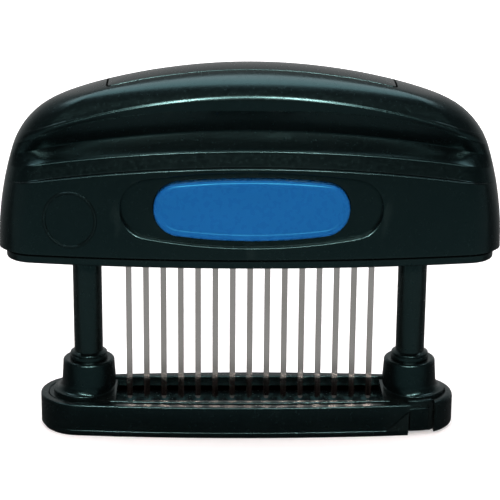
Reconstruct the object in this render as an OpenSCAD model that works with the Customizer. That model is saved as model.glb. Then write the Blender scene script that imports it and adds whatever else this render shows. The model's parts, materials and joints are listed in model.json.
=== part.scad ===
// Hand blade meat tenderizer: a sprung handle slides on two posts and pushes a row
// of knives through a slotted base. Millimetres, +Z up, front towards -Y.
// Origin: centre of the footprint, on the table.

/* [Handle] */
// Width over the ends of the handle
handle_w = 150; // [146:0.5:164]
// Depth of the apron at its middle
apron_d = 32; // [31:0.5:38]
// Height of the shell's lower rim above the table
rim_z = 57; // [54:0.5:66]
// Height of the shell from its rim to its crown
shell_h = 55; // [54:0.5:60]
// Height of the apron from the rim to its crease
apron_h = 27.6; // [26.5:0.1:29]
// Radius of the crown's arch
crown_r = 172; // [160:1:220]
// Radius of the ends, seen from the front
side_r = 100; // [90:1:140]
// Radius of the shoulders between the ends and the crown
shoulder_r = 16; // [10:0.5:20]
// Radius along which the creases and the grip groove arch
crease_r = 357; // [320:1:420]
// Radius along which the front and the rear bow in plan
bow_r = 400; // [380:5:600]
// Radius of the apron's corners in plan
corner_r = 10; // [6:0.5:10]
// Wall of the shell
wall = 2.4; // [2:0.1:2.8]
// Half depth of the shell at the bottom of the grip groove
groove_y = 10.2; // [9.8:0.1:11]
// Half depth of the crown above the groove
crown_y = 14.8; // [13.5:0.1:15.5]
// Radius of the crown's long edges
edge_r = 7.8; // [5:0.1:9]
// Thickness of the floor's flange below the rim
floor_t = 3; // [2.5:0.1:4]
// Height of the floor's plug inside the shell
plug_h = 3; // [2:0.1:3.5]
// Set-back of the floor's flange from the shell's rim
floor_inset = 0.8; // [0.4:0.1:1.5]

/* [Button] */
// Width of the release button
button_w = 57.2; // [50:0.2:60]
// Height of the release button
button_h = 18.4; // [16:0.2:19.4]
// Height of the button's middle above the rim
button_z = 15; // [14.5:0.1:15.5]
// Amount by which the button's rim stands out of the apron
button_proud = 1; // [0.5:0.1:2]
// Width of the button's raised rim
rim_w = 1.5; // [1:0.1:2.5]
// Depth of the button's face below its rim
face_dip = 0.5; // [0.2:0.1:0.8]
// Travel of the button
button_travel = 1.5; // [1:0.1:1.6]
// Width of the pocket round the button
pocket_w = 76.5; // [72:0.5:80]
// Height of the pocket round the button
pocket_h = 22.5; // [21:0.5:23.4]
// Depth of the pocket
pocket_d = 1.7; // [1:0.1:2]

/* [Posts] */
// Distance from the middle to each post
post_x = 49; // [48:0.1:51]
// Radius of the posts
post_r = 4.35; // [4:0.05:4.5]
// Radius of the posts' bore
bore_r = 3.1; // [3:0.05:3.2]
// Height of the collars' tops above the table
collar_top = 24.8; // [23:0.1:27]
// Height of the collars
collar_h = 3.8; // [2.5:0.1:5]
// Length of the bushes
bush_l = 8; // [6:0.5:9]

/* [Base] */
// Width over the ends of the base
base_w = 127.6; // [126:0.2:134]
// Depth of the base at its middle
base_d = 30; // [29.4:0.2:34]
// Radius along which the base bows in plan
base_bow_r = 576; // [520:2:900]
// Radius of the base's corners in plan
base_corner_r = 12.5; // [10:0.1:12.6]
// Thickness of the lower plate
plate_t = 2.1; // [1.8:0.1:3]
// Height of the skirt's top above the table
skirt_top = 10.2; // [9.6:0.1:10.5]
// Thickness of the skirt's wall
skirt_t = 2.4; // [2:0.1:2.6]
// Height of the guide rails' tops above the table
rail_top = 10.7; // [10.5:0.1:12]
// Height of the trough's floor above the table
trough_z = 6; // [5.6:0.1:7]

/* [Knives] */
// Number of knives
knife_n = 15; // [11:2:15]
// Distance between neighbouring knives
knife_pitch = 5.23; // [5:0.01:5.3]
// Width of a knife, seen from the front
knife_w = 1.75; // [1.4:0.05:2]
// Thickness of a knife
knife_t = 1; // [0.8:0.05:1.2]
// Height of the knives' tips above the trough's floor
tip_rise = 1.1; // [0.6:0.1:2]

/* [Hidden] */
$fn = 96;

plastic = [0.06, 0.12, 0.12];
steel = [0.62, 0.6, 0.56];
blue = [0.12, 0.39, 0.69];

sweep_fn = 360; // sides of the large swept circles
eps = 0.02;     // clearance between pressed or glued faces
slip = 0.05;    // radial running clearance of a shaft
gap = 0.3;      // clearance between parts that slide past each other
far = 200;      // reach of cutting forms

// Handle levels and halves
handle_x = handle_w / 2;
apron_y = apron_d / 2;
crown_z = rim_z + shell_h;
crease_z = rim_z + apron_h;
band_h = 4.7;      // crease to the band's upper edge
band_in = 2.6;     // how far the band leans in
slope_h = 4.4;     // band to the groove
groove_h = 0.8;    // height of the groove's bottom
overhang_h = 6.6;  // groove to the crown's lip
overhang_in = 0.8; // set-back of the crown's lower lip
lip_z = crease_z + band_h + slope_h + groove_h + overhang_h;
roof_z = crease_z - 1.6;
floor_z = rim_z - floor_t;

// Cartridge well and its parts
well_x = 42.3;
well_y = 6.3;
well_r = 1.8;
carrier_x = well_x - 0.8;
carrier_y = well_y - 0.4;
carrier_h = 13;
carrier_z = crown_z - 24;
carrier_top = carrier_z + carrier_h;
head_w = 3.4;      // width of a knife's head
head_h = 3.5;      // height of a knife's head
head_z = carrier_z + 7;
tip_z = trough_z + tip_rise;
tip_h = 1.3;       // height of a knife's ground tip
tip_w = 0.8;       // width of the tip's cutting edge
tip_t = 0.15;      // thickness left at the cutting edge
barb_h = 1.7;
barb_out = button_travel;
arm_w = 14;
arm_t = 1.1;
arm_l = 15;

// Button levels
button_mid = rim_z + button_z;
pad_y = 11.8;      // inner face of the wall behind the pocket
flange_t = 1.2;
flange_out = 1.6;
flange_y = pad_y - 0.2;            // outer face of the button's flange
flange_back = flange_y - flange_t; // its inner face
flange_h = 18;
oval_r = 190;      // radius of the long edges of button and pocket
button_corner_r = button_h / 2 - 1.4;
pocket_corner_r = pocket_h / 2 - 2.8;
rib_y0 = 3.6;
rib_y1 = 5.2;
rib_x0 = 12;
rib_x1 = 33;
rib_top = button_mid + 5;
button_spring_x = 20;
button_wire = 0.5;
button_coil_r = 2.3;
button_turns = 4;
nose_w = 10;
nose_h = 4;
mark_x = -53.1;    // plain ring on the apron
mark_z = rim_z + 11.6;
mark_r = 8.3;
mark_line = 0.9;
mark_proud = 0.35;

// Post levels
boss_top = collar_top - collar_h;
boss_r = 8;
boss_foot_r = 9.6;
boss_top_r = 7.8;
boss_flare = 0.7;
boss_round = 0.8;
deck_z = plate_t + 1.2;
deck_top = rail_top - 1;
post_z = deck_z + 1.7;
post_seat_z = 30;
bush_z = rim_z - 1;
bush_top = bush_z + bush_l;
bush_t = 1.6;
washer_t = 1.2;
clip_z = bush_top + washer_t;
clip_t = 1;
clip_r = post_r + 0.75;
clip_bite = 0.45;
post_top = clip_z + clip_t + 1.4;
channel_r = clip_r + gap;
function arch_z(x) = crown_z - crown_r + sqrt(crown_r * crown_r - x * x);
channel_z = arch_z(post_x + channel_r) - wall;
guide_r = 1.5;
guide_head_t = 1.2;
guide_l = 28;
post_wire = 0.8;
post_coil_r = bore_r - 0.25 - post_wire / 2;
post_turns = 12;

// Screws
screw_r = 1.2;
screw_head_r = 2.3;
screw_head_t = 1.5;
floor_screw_at = [[36, 9.2], [-36, 9.2], [36, -9.2], [-36, -9.2], [63, 0], [-63, 0]];
screw_boss_r = 2.8;
floor_screw_l = 16;
skirt_screw_at = [[30, 10], [-30, 10], [30, -10], [-30, -10]];
skirt_screw_r = 0.9;
skirt_screw_head_r = 1.6;
post_screw_l = 14;
post_head_z = deck_z - 0.4;
carrier_screw_z = carrier_z + 3.5;
carrier_screw_at = [-6.5, -2.5, 2.5, 6.5];
cap_screw_x = 39.6;
cap_screw_y = 3;
cap_screw_l = 17;

// Base
base_x = base_w / 2;
base_y = base_d / 2;
latch_short = 1.3; // by this much the base is shorter at the latch end
deck_inset = skirt_t + 0.6;
trough_x = 42.2;
trough_y = 10;
slot_w = knife_w + 2 * gap + 0.4;
slot_d = 7;
slot_lead = 1;
opening_x = 41;
opening_y = 8.5;
part_x0 = 40.3;    // foot and head of the slanting joint at the latch end
part_x1 = 48;
part_z1 = 7.65;
plate_step = 0.8;  // set-back of the plate's underside
end_z = 1.3;       // underside of the block beside the latch
end_line_z = 8.6;  // line along which the block steps in
end_top = 11.1;
recess_x1 = 54.4;
recess_d = 0.8;
latch_x0 = 54.7;
latch_z = 0.9;
latch_top = 10.4;
latch_gap = 0.25;
pin_x = 53.5;
pin_y = 10.8;
pin_r = 0.8;
knuckle_r = 1.7;
knuckle_z0 = end_z + 2.3;
knuckle_z1 = skirt_top - 1.8;
ear_x0 = pin_x - 3.2;
latch_step_x = pin_x + 2.3;

// Points of an arc
function arc(c, r, a0, a1, n) =
    [for (i = [0:n]) let (a = a0 + (a1 - a0) * i / n) [c[0] + r * cos(a), c[1] + r * sin(a)]];

// Barrel outline: long edges of radius bow, corners of radius r, all drawn in by s
function barrel(half_l, half_d, bow, r, s = 0) =
    let (
        cx = half_l - r,
        cy = max(0, half_d - bow + sqrt(pow(bow - r, 2) - cx * cx)),
        t = atan2(cy + bow - half_d, cx)
    )
    concat(
        arc([cx, cy], r - s, 0, t, 6),
        arc([0, half_d - bow], bow - s, t, 180 - t, 10),
        arc([-cx, cy], r - s, 180 - t, 180, 6),
        arc([-cx, -cy], r - s, 180, 180 + t, 6),
        arc([0, bow - half_d], bow - s, 180 + t, 360 - t, 10),
        arc([cx, -cy], r - s, 360 - t, 360, 6)
    );

// Where two circles meet, on the +X side
function meet(c0, r0, c1, r1) =
    let (
        d = norm(c1 - c0),
        u = (c1 - c0) / d,
        a = (r0 * r0 - r1 * r1 + d * d) / (2 * d),
        h = sqrt(r0 * r0 - a * a)
    )
    c0 + a * u + h * [-u[1], u[0]];

// Front outline of the handle, drawn in by s: ends, shoulders and crown
function front_outline(s, low) =
    let (
        side = [handle_x - side_r, rim_z],
        top = [0, crown_z - crown_r],
        c = meet(side, side_r - shoulder_r, top, crown_r - shoulder_r),
        a = atan2(c[1] - side[1], c[0] - side[0]),
        b = atan2(c[1] - top[1], c[0] - top[0]),
        right = concat(
            [[handle_x - s, low]],
            arc(side, side_r - s, 0, a, 8),
            arc(c, shoulder_r - s, a, b, 8),
            arc(top, crown_r - s, b, 90, 12)
        ),
        n = len(right) - 1
    )
    concat(right, [for (i = [n - 1:-1:0]) [-right[i][0], right[i][1]]]);

module apron_plan(s) polygon(barrel(handle_x, apron_y, bow_r, corner_r, s));
module base_plan(s) intersection_for(x = [0, -latch_short])
    translate([x, 0]) polygon(barrel(base_x, base_y, base_bow_r, base_corner_r, s));
module oval(w, h, r, s = 0) polygon(barrel(w / 2, h / 2, oval_r, r, s));

// Extrudes an (x, z) outline along Y, from y0 to y1
module along_y(y0, y1) translate([0, y1, 0]) rotate([90, 0, 0]) linear_extrude(y1 - y0) children();

module both_ends() {
    children();
    mirror([1, 0, 0]) children();
}

module front_and_rear() {
    children();
    mirror([0, 1, 0]) children();
}

// Sweeps a (y, z) section along a circle that drops along the arch radius in elevation
// and draws in along the bow radius in plan, starting from the point [y0, z0]
module swept(arch, bow, y0, z0) {
    r = 1 / sqrt(1 / (arch * arch) + 1 / (bow * bow));
    t = atan2(arch, bow);
    c = [y0 + r * sin(t), z0 - r * cos(t)];
    translate([0, c[0], c[1]]) rotate([90 + t, 0, 0]) rotate_extrude($fn = sweep_fn)
        rotate(-90 - t) translate(-c) children();
}

module body_section() polygon([
    [far / 4, rim_z - 20],
    [-apron_y - band_in, rim_z - 20],
    [-apron_y - band_in, crease_z - band_h * 0.65],
    [-apron_y + band_in * 0.7, crease_z + band_h * 0.45],
    [-apron_y + band_in, crease_z + band_h],
    [-groove_y, crease_z + band_h + slope_h],
    [-groove_y, crease_z + band_h + slope_h + groove_h],
    [-crown_y + overhang_in, lip_z],
    [-crown_y - 2, lip_z + 4],
    [-crown_y - 2, crown_z + 10],
    [far / 4, crown_z + 10]
]);

module crown_section() polygon(concat(
    [[far / 4, rim_z - 40], [far / 4, crown_z]],
    arc([-crown_y + edge_r, crown_z - edge_r], edge_r, 90, 180, 8),
    [[-crown_y, lip_z], [-apron_y - 4, lip_z - 2], [-apron_y - 4, rim_z - 40]]
));

module crown_form() intersection() {
    swept(crown_r, bow_r, 0, crown_z) crown_section();
    mirror([0, 1, 0]) swept(crown_r, bow_r, 0, crown_z) crown_section();
}

module handle_form() intersection() {
    along_y(-far / 4, far / 4) polygon(front_outline(0, rim_z));
    translate([0, 0, rim_z - 5]) linear_extrude(shell_h + 10) apron_plan(0);
    swept(crease_r, bow_r, -apron_y, crease_z) body_section();
    mirror([0, 1, 0]) swept(crease_r, bow_r, -apron_y, crease_z) body_section();
    crown_form();
}

// Space inside the apron, with the walls behind the pockets left standing
module apron_cavity() difference() {
    intersection() {
        along_y(-far / 4, far / 4) polygon(front_outline(wall, rim_z - 5));
        translate([0, 0, rim_z - 5]) linear_extrude(shell_h) apron_plan(wall);
        translate([0, far / 4, roof_z - crease_r]) rotate([90, 0, 0])
            cylinder(r = crease_r, h = far / 2, $fn = sweep_fn);
    }
    front_and_rear() translate([-pocket_w / 2, -apron_y, rim_z + plug_h + 0.2])
        cube([pocket_w, apron_y - pad_y, apron_h]);
    for (p = floor_screw_at)
        translate([p[0], p[1], rim_z + plug_h + 0.2]) cylinder(r = screw_boss_r, h = apron_h);
}

module pocket_cut() difference() {
    along_y(-far / 4, -pad_y - 1) translate([0, button_mid])
        oval(pocket_w, pocket_h, pocket_corner_r);
    translate([0, 0, rim_z - 5]) linear_extrude(shell_h) apron_plan(pocket_d);
}

module window_cut() along_y(-far / 4, -pad_y + 1) translate([0, button_mid])
    oval(button_w, button_h, button_corner_r, -gap);

module plain_mark() intersection() {
    along_y(-far / 4, 0) translate([mark_x, mark_z]) difference() {
        circle(r = mark_r);
        circle(r = mark_r - mark_line);
    }
    translate([0, 0, rim_z + 1]) linear_extrude(apron_h) difference() {
        apron_plan(-mark_proud);
        apron_plan(wall / 2);
    }
}

module well_plan(s) {
    x = well_x - s;
    y = well_y - s;
    r = well_r - s;
    polygon(concat(
        arc([x - r, y - r], r, 0, 90, 6),
        arc([r - x, y - r], r, 90, 180, 6),
        arc([r - x, r - y], r, 180, 270, 6),
        arc([x - r, r - y], r, 270, 360, 6)
    ));
}

module handle_shell() color(plastic) {
    difference() {
        handle_form();
        apron_cavity();
        front_and_rear() pocket_cut();
        front_and_rear() window_cut();
        translate([0, 0, roof_z - 8]) linear_extrude(far) well_plan(0);
        both_ends() translate([post_x, 0, rim_z]) cylinder(r = channel_r, h = channel_z - rim_z);
        for (p = floor_screw_at)
            translate([p[0], p[1], rim_z]) cylinder(r = screw_r + slip, h = floor_screw_l);
    }
    plain_mark();
}

module floor_edge() intersection() {
    translate([0, 0, floor_z]) linear_extrude(floor_t) apron_plan(floor_inset);
    along_y(-far / 4, far / 4) polygon(front_outline(floor_inset, floor_z));
}

module handle_floor() color(plastic) difference() {
    union() {
        floor_edge();
        translate([0, 0, rim_z]) linear_extrude(plug_h) apron_plan(wall + eps * 5);
        both_ends() translate([post_x, 0, rim_z])
            cylinder(r = post_r + slip + bush_t + 1.6, h = bush_top - rim_z);
        both_ends() front_and_rear() translate([rib_x0, -rib_y1, rim_z])
            cube([rib_x1 - rib_x0, rib_y1 - rib_y0, rib_top - rim_z]);
    }
    both_ends() translate([post_x, 0, floor_z - 1]) {
        cylinder(r = post_r + 0.65, h = far / 8);
        translate([0, 0, bush_z - floor_z + 1])
            cylinder(r = post_r + slip + bush_t + eps, h = bush_l + 1);
    }
    knife_places() translate([0, 0, floor_z - 1])
        linear_extrude(far / 8) square([knife_w + 2 * gap, knife_t + 2 * gap], center = true);
    for (p = floor_screw_at) translate([p[0], p[1], floor_z - 1]) {
        cylinder(r = screw_r + 0.2, h = far / 8);
        cylinder(r = screw_head_r + 0.1, h = 1 + screw_head_t + 0.1);
    }
}

module knife_places() for (i = [0:knife_n - 1])
    translate([(i - (knife_n - 1) / 2) * knife_pitch, 0, 0]) children();

// A screw standing on its head, head down, with a hexagon socket
module screw(r, l, head_r, head_t) difference() {
    union() {
        cylinder(r = head_r, h = head_t);
        translate([0, 0, head_t]) cylinder(r = r, h = l - head_t - 0.6);
        translate([0, 0, l - 0.6]) cylinder(r1 = r, r2 = r - 0.5, h = 0.6);
    }
    translate([0, 0, -1]) cylinder(r = head_r * 0.5, h = 1 + head_t * 0.6, $fn = 6);
}

module floor_screws() color(steel) for (p = floor_screw_at)
    translate([p[0], p[1], floor_z + 0.1])
        screw(screw_r, floor_screw_l + floor_t - 1, screw_head_r, screw_head_t);

module bush() color([0.85, 0.85, 0.8]) translate([0, 0, bush_z]) difference() {
    cylinder(r = post_r + slip + bush_t, h = bush_l);
    translate([0, 0, -1]) cylinder(r = post_r + slip, h = bush_l + 2);
}

module left_bush() translate([-post_x, 0, 0]) bush();
module right_bush() translate([post_x, 0, 0]) bush();

module stop_washers() color([0.2, 0.2, 0.2]) both_ends() translate([post_x, 0, bush_top])
    difference() {
        cylinder(r = clip_r + 0.2, h = washer_t);
        translate([0, 0, -1]) cylinder(r = post_r + 0.2, h = washer_t + 2);
    }

module spring_guides() color(steel) both_ends() translate([post_x, 0, 0]) {
    translate([0, 0, channel_z - guide_head_t]) cylinder(r = post_coil_r + 0.6, h = guide_head_t);
    translate([0, 0, channel_z - guide_l]) cylinder(r = guide_r, h = guide_l - guide_head_t);
}

// Tube of radius w wound on a coil of radius r, standing from z0 to z1
module coil(r, w, turns, z0, z1) {
    n = turns * 8;
    pts = coil_points(r, w, turns, z0, z1);
    sides = [for (i = [0:n - 1], j = [0:5]) each [
        [i * 6 + j, (i + 1) * 6 + (j + 1) % 6, i * 6 + (j + 1) % 6],
        [i * 6 + j, (i + 1) * 6 + j, (i + 1) * 6 + (j + 1) % 6]
    ]];
    caps = [for (j = [1:4]) each [[0, j, j + 1], [n * 6, n * 6 + j + 1, n * 6 + j]]];
    polyhedron(points = pts, faces = concat(sides, caps));
}

function coil_points(r, w, turns, z0, z1) =
    [for (i = [0:turns * 8], j = [0:5]) let (
        a = i * 45,
        z = z0 + w + (z1 - z0 - 2 * w) * i / (turns * 8)
    ) [(r + w * cos(j * 60)) * cos(a), (r + w * cos(j * 60)) * sin(a), z + w * sin(j * 60)]];

// Least distance between the surfaces of neighbouring turns, measured on the points
function coil_gap(pts) = min([for (i = [0:5], k = [0:len(pts) - 55], s = [-1:1])
    norm(pts[k] - pts[k + 48 + s * 1 - (k + s < 0 ? s : 0)])]);

module post_spring() color(steel)
    coil(post_coil_r, post_wire / 2, post_turns, post_seat_z, channel_z - guide_head_t);

module left_post_spring() translate([-post_x, 0, 0]) post_spring();
module right_post_spring() translate([post_x, 0, 0]) post_spring();

module button() color(blue) {
    difference() {
        intersection() {
            along_y(-far / 4, -flange_y) translate([0, button_mid])
                oval(button_w, button_h, button_corner_r);
            translate([0, 0, rim_z]) linear_extrude(shell_h) apron_plan(-button_proud);
        }
        difference() {
            along_y(-far / 4, -pad_y) translate([0, button_mid])
                oval(button_w, button_h, button_corner_r, rim_w);
            translate([0, 0, rim_z - 5]) linear_extrude(shell_h) apron_plan(face_dip - button_proud);
        }
    }
    translate([-button_w / 2 - flange_out, -flange_y, button_mid - flange_h / 2 - 1])
        cube([button_w + 2 * flange_out, flange_t, flange_h]);
    translate([-nose_w / 2, -flange_back, button_mid + 2])
        cube([nose_w, flange_back - carrier_y - gap, nose_h]);
}

module front_button() button();
module rear_button() mirror([0, 1, 0]) button();

module button_springs() color(steel) both_ends()
    translate([button_spring_x, -rib_y1, button_mid]) rotate([90, 0, 0])
        coil(button_coil_r, button_wire / 2, button_turns, 0, flange_back - rib_y1);

module front_button_springs() button_springs();
module rear_button_springs() mirror([0, 1, 0]) button_springs();

module cartridge_cap() color(plastic) difference() {
    intersection() {
        translate([0, 0, carrier_top]) linear_extrude(far / 4) well_plan(gap);
        crown_form();
    }
    both_ends() front_and_rear() translate([cap_screw_x, cap_screw_y, carrier_top - 1])
        cylinder(r = screw_r + slip, h = cap_screw_l + carrier_z - carrier_top + 1.2);
}

// Front half of the block that clamps the knives' heads
module carrier() difference() {
    translate([-carrier_x, -carrier_y, carrier_z]) cube([2 * carrier_x, carrier_y, carrier_h]);
    knife_places() {
        translate([-knife_w / 2 - slip, -knife_t / 2 - slip, carrier_z - 1])
            cube([knife_w + 2 * slip, knife_t, head_z - carrier_z + 1.5]);
        translate([-head_w / 2 - slip, -knife_t / 2 - slip, head_z - slip])
            cube([head_w + 2 * slip, knife_t, head_h + 2 * slip]);
    }
    both_ends() translate([cap_screw_x, -cap_screw_y, carrier_z - 1]) {
        cylinder(r = screw_r + slip, h = carrier_h + 2);
        cylinder(r = 1.9, h = 1 + screw_head_t + 0.1);
    }
}

module carrier_bores(y0, y1, r) for (k = carrier_screw_at)
    translate([k * knife_pitch, y1, carrier_screw_z]) rotate([90, 0, 0]) cylinder(r = r, h = y1 - y0);

module front_carrier() color(plastic) difference() {
    carrier();
    carrier_bores(-carrier_y + 1.2, 1, screw_r + slip);
}

module rear_carrier() color(plastic) difference() {
    mirror([0, 1, 0]) carrier();
    carrier_bores(-1, carrier_y + 1, screw_r + slip);
    carrier_bores(carrier_y - screw_head_t - 0.1, carrier_y + 1, screw_head_r);
}

module carrier_screws() color(steel) for (k = carrier_screw_at)
    translate([k * knife_pitch, carrier_y - 0.1, carrier_screw_z]) rotate([90, 0, 0])
        screw(screw_r, 2 * carrier_y - 1.6, screw_head_r - 0.1, screw_head_t);

module cap_screws() color(steel) both_ends() front_and_rear()
    translate([cap_screw_x, cap_screw_y, carrier_z + 0.1])
        screw(screw_r, cap_screw_l, 1.8, screw_head_t);

// Half of a knife's outline seen from the front: ground tip, shank and wider head
knife_side = [
    [tip_w / 2, tip_z],
    [knife_w / 2, tip_z + tip_h],
    [knife_w / 2, head_z],
    [head_w / 2, head_z],
    [head_w / 2, head_z + head_h]
];

// One knife, its tip ground on one face as a chisel is
module knife() intersection() {
    along_y(-knife_t / 2, knife_t / 2) polygon(concat(
        knife_side,
        [for (i = [len(knife_side) - 1:-1:0]) [-knife_side[i][0], knife_side[i][1]]]
    ));
    translate([-head_w, 0, 0]) rotate([90, 0, 90]) linear_extrude(2 * head_w) polygon([
        [knife_t / 2 - tip_t, tip_z],
        [knife_t / 2, tip_z],
        [knife_t / 2, crown_z],
        [-knife_t / 2, crown_z],
        [-knife_t / 2, tip_z + tip_h]
    ]);
}

// Every other knife is turned about
module knives() color(steel) for (i = [0:knife_n - 1])
    translate([(i - (knife_n - 1) / 2) * knife_pitch, 0, 0]) rotate(i % 2 * 180) knife();

// Springy arm that hooks its barb under the roof of the apron
module snap_arm() color(plastic) {
    y = carrier_y;
    z = roof_z - 0.3;
    translate([-arm_w / 2, -y, carrier_z - 1.4]) cube([arm_w, y - 2, 1.4]);
    translate([-arm_w / 2, 0, 0]) rotate([90, 0, 90]) linear_extrude(arm_w) polygon([
        [-y, carrier_z - 1.4],
        [-y, z],
        [-well_y - barb_out, z],
        [-well_y - barb_out, z - 0.6],
        [-y, z - barb_h - 0.6],
        [-y, carrier_z - arm_l],
        [-y + arm_t, carrier_z - arm_l],
        [-y + arm_t, carrier_z - 1.4]
    ]);
}

module front_snap_arm() snap_arm();
module rear_snap_arm() mirror([0, 1, 0]) snap_arm();

// Tapered boss that a post stands in, with a flared foot and a rounded top
module boss() rotate_extrude() polygon(concat(
    [[0, deck_z], [boss_r, deck_z]],
    [[boss_foot_r, deck_top], [boss_foot_r - boss_flare, deck_top + boss_flare]],
    [[boss_r + 0.7, deck_top + 2 * boss_flare], [boss_r, boss_top - 3]],
    arc([boss_top_r - boss_round, boss_top - boss_round], boss_round, 0, 90, 4),
    [[0, boss_top]]
));

// Sloping lead-in round the top of a guide slot
module slot_mouth() intersection() {
    w = slot_w / 2;
    d = slot_d / 2;
    along_y(-far / 4, far / 4) polygon([
        [-w, trough_z - slot_lead],
        [w, trough_z - slot_lead],
        [w + slot_lead, trough_z + eps],
        [-w - slot_lead, trough_z + eps]
    ]);
    translate([-far / 4, 0, 0]) rotate([90, 0, 90]) linear_extrude(far / 2) polygon([
        [-d, trough_z - slot_lead],
        [d, trough_z - slot_lead],
        [d + slot_lead, trough_z + eps],
        [-d - slot_lead, trough_z + eps]
    ]);
}

module guide_deck() color(plastic) difference() {
    union() {
        translate([0, 0, deck_z]) linear_extrude(deck_top - deck_z) base_plan(deck_inset);
        intersection() {
            translate([0, 0, deck_z]) linear_extrude(rail_top - deck_z) base_plan(deck_inset);
            translate([-trough_x, -base_y, 0]) cube([2 * trough_x, base_d, rail_top]);
        }
        both_ends() translate([post_x, 0, 0]) boss();
    }
    translate([-trough_x + 1.5, -trough_y, trough_z]) cube([2 * trough_x - 3, 2 * trough_y, far]);
    knife_places() {
        translate([-slot_w / 2, -slot_d / 2, 0]) cube([slot_w, slot_d, far]);
        slot_mouth();
    }
    both_ends() translate([post_x, 0, 0]) {
        translate([0, 0, post_z]) cylinder(r = post_r + eps, h = far);
        cylinder(r = screw_r + 0.3, h = far / 8);
        cylinder(r = screw_head_r + 0.1, h = post_head_z + screw_head_t + eps);
    }
    for (p = skirt_screw_at) translate([p[0], p[1], 0])
        cylinder(r = skirt_screw_r + slip, h = trough_z - 0.5);
    translate([pin_x, pin_y, 0]) cylinder(r = knuckle_r + gap, h = far);
}

module post() color(plastic) difference() {
    translate([0, 0, post_z]) cylinder(r = post_r, h = post_top - post_z);
    translate([0, 0, post_seat_z]) cylinder(r = bore_r, h = far);
    translate([0, 0, post_z - 1]) cylinder(r = screw_r + slip, h = post_screw_l);
    translate([0, 0, clip_z]) difference() {
        cylinder(r = post_r + 1, h = clip_t + eps);
        translate([0, 0, -1]) cylinder(r = post_r - clip_bite, h = clip_t + 2);
    }
}

module left_post() translate([-post_x, 0, 0]) post();
module right_post() translate([post_x, 0, 0]) post();

module collar() color(plastic) translate([0, 0, boss_top]) difference() {
    rotate_extrude() polygon([
        [0, 0],
        [post_r + 1.35, 0],
        [post_r + 1.35, collar_h - 1.6],
        [post_r + 1, collar_h - 0.8],
        [post_r + 0.4, collar_h],
        [0, collar_h]
    ]);
    translate([0, 0, -1]) cylinder(r = post_r + eps, h = far);
}

module left_collar() translate([-post_x, 0, 0]) collar();
module right_collar() translate([post_x, 0, 0]) collar();

module post_screws() color(steel) both_ends() translate([post_x, 0, post_head_z])
    screw(screw_r, post_screw_l, screw_head_r, screw_head_t);

module post_clips() color(steel) both_ends() translate([post_x, 0, clip_z + eps / 2]) difference() {
    cylinder(r = clip_r, h = clip_t);
    translate([0, 0, -1]) cylinder(r = post_r - clip_bite + eps, h = clip_t + 2);
    translate([-1.2, -clip_r * 2, -1]) cube([2.4, clip_r * 2, clip_t + 2]);
}

// Slanting joint at the latch end: everything below it belongs to the lower plate
module below_joint(s) along_y(-far / 4, far / 4) polygon([
    [part_x0 - s * 1.4, -1],
    [part_x0 - s * 1.4, plate_t - 1.2],
    [part_x1 - s, part_z1 + s],
    [part_x1 + s, part_z1 + s],
    [part_x1 + s, -1]
]);

// Everything beyond x, towards the latch end
module beyond(x) translate([x, -far / 4, -1]) cube([far, far / 2, far / 2]);

// Part of the base's rim between two insets, from x0 to x1 and z0 to z1
module rim_band(s0, s1, x0, x1, z0, z1) intersection() {
    translate([0, 0, z0]) linear_extrude(z1 - z0) difference() {
        base_plan(s0);
        base_plan(s1);
    }
    translate([x0, -far / 4, z0 - 1]) cube([x1 - x0, far / 2, z1 - z0 + 2]);
}

module skirt_ring() difference() {
    translate([0, 0, plate_t]) linear_extrude(skirt_top - plate_t) base_plan(0);
    translate([0, 0, deck_z]) linear_extrude(far) base_plan(skirt_t);
    beyond(part_x1 + latch_gap);
    translate([part_x1 - latch_gap, -far / 4, 0]) cube([far, far / 2, deck_z]);
    difference() {
        below_joint(latch_gap);
        linear_extrude(far) base_plan(skirt_t + latch_gap);
    }
}

module end_block() {
    x = part_x1 + latch_gap;
    rim_band(recess_d, skirt_t, x, recess_x1, end_z, end_line_z);
    rim_band(recess_d + 0.4, skirt_t, x, recess_x1, end_line_z, end_top);
    rim_band(recess_d + 0.4, skirt_t, x - 1, x + 1, end_line_z - 0.2, skirt_top - 0.2);
}

module hinge_ears() for (z = [[end_z, knuckle_z0 - 0.2], [knuckle_z1 + 0.2, end_top]])
    translate([0, 0, z[0]]) {
        translate([pin_x, pin_y, 0]) cylinder(r = knuckle_r, h = z[1] - z[0]);
        translate([ear_x0, pin_y - 1.2, 0]) cube([pin_x - ear_x0, 2.4, z[1] - z[0]]);
    }

module base_skirt() color(plastic) difference() {
    union() {
        skirt_ring();
        difference() {
            end_block();
            translate([pin_x - knuckle_r - gap, 0, 0]) cube(far);
        }
        hinge_ears();
    }
    translate([pin_x, pin_y, -1]) cylinder(r = pin_r + eps, h = far);
    translate([-opening_x, -opening_y, -1]) cube([2 * opening_x, 2 * opening_y, far]);
    for (p = skirt_screw_at) translate([p[0], p[1], 0]) {
        cylinder(r = skirt_screw_r + 0.2, h = far);
        cylinder(r = skirt_screw_head_r + 0.1, h = plate_t + 0.9);
    }
    both_ends() translate([post_x, 0, 0]) cylinder(r = screw_head_r + 0.4, h = far);
}

module skirt_screws() color(steel) for (p = skirt_screw_at) translate([p[0], p[1], plate_t + 0.1])
    screw(skirt_screw_r, trough_z - plate_t - 0.8, skirt_screw_head_r, 0.8);

module latch_pin() color(steel) translate([pin_x, pin_y, end_z + 0.1])
    cylinder(r = pin_r, h = end_top - end_z - 0.2);

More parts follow.
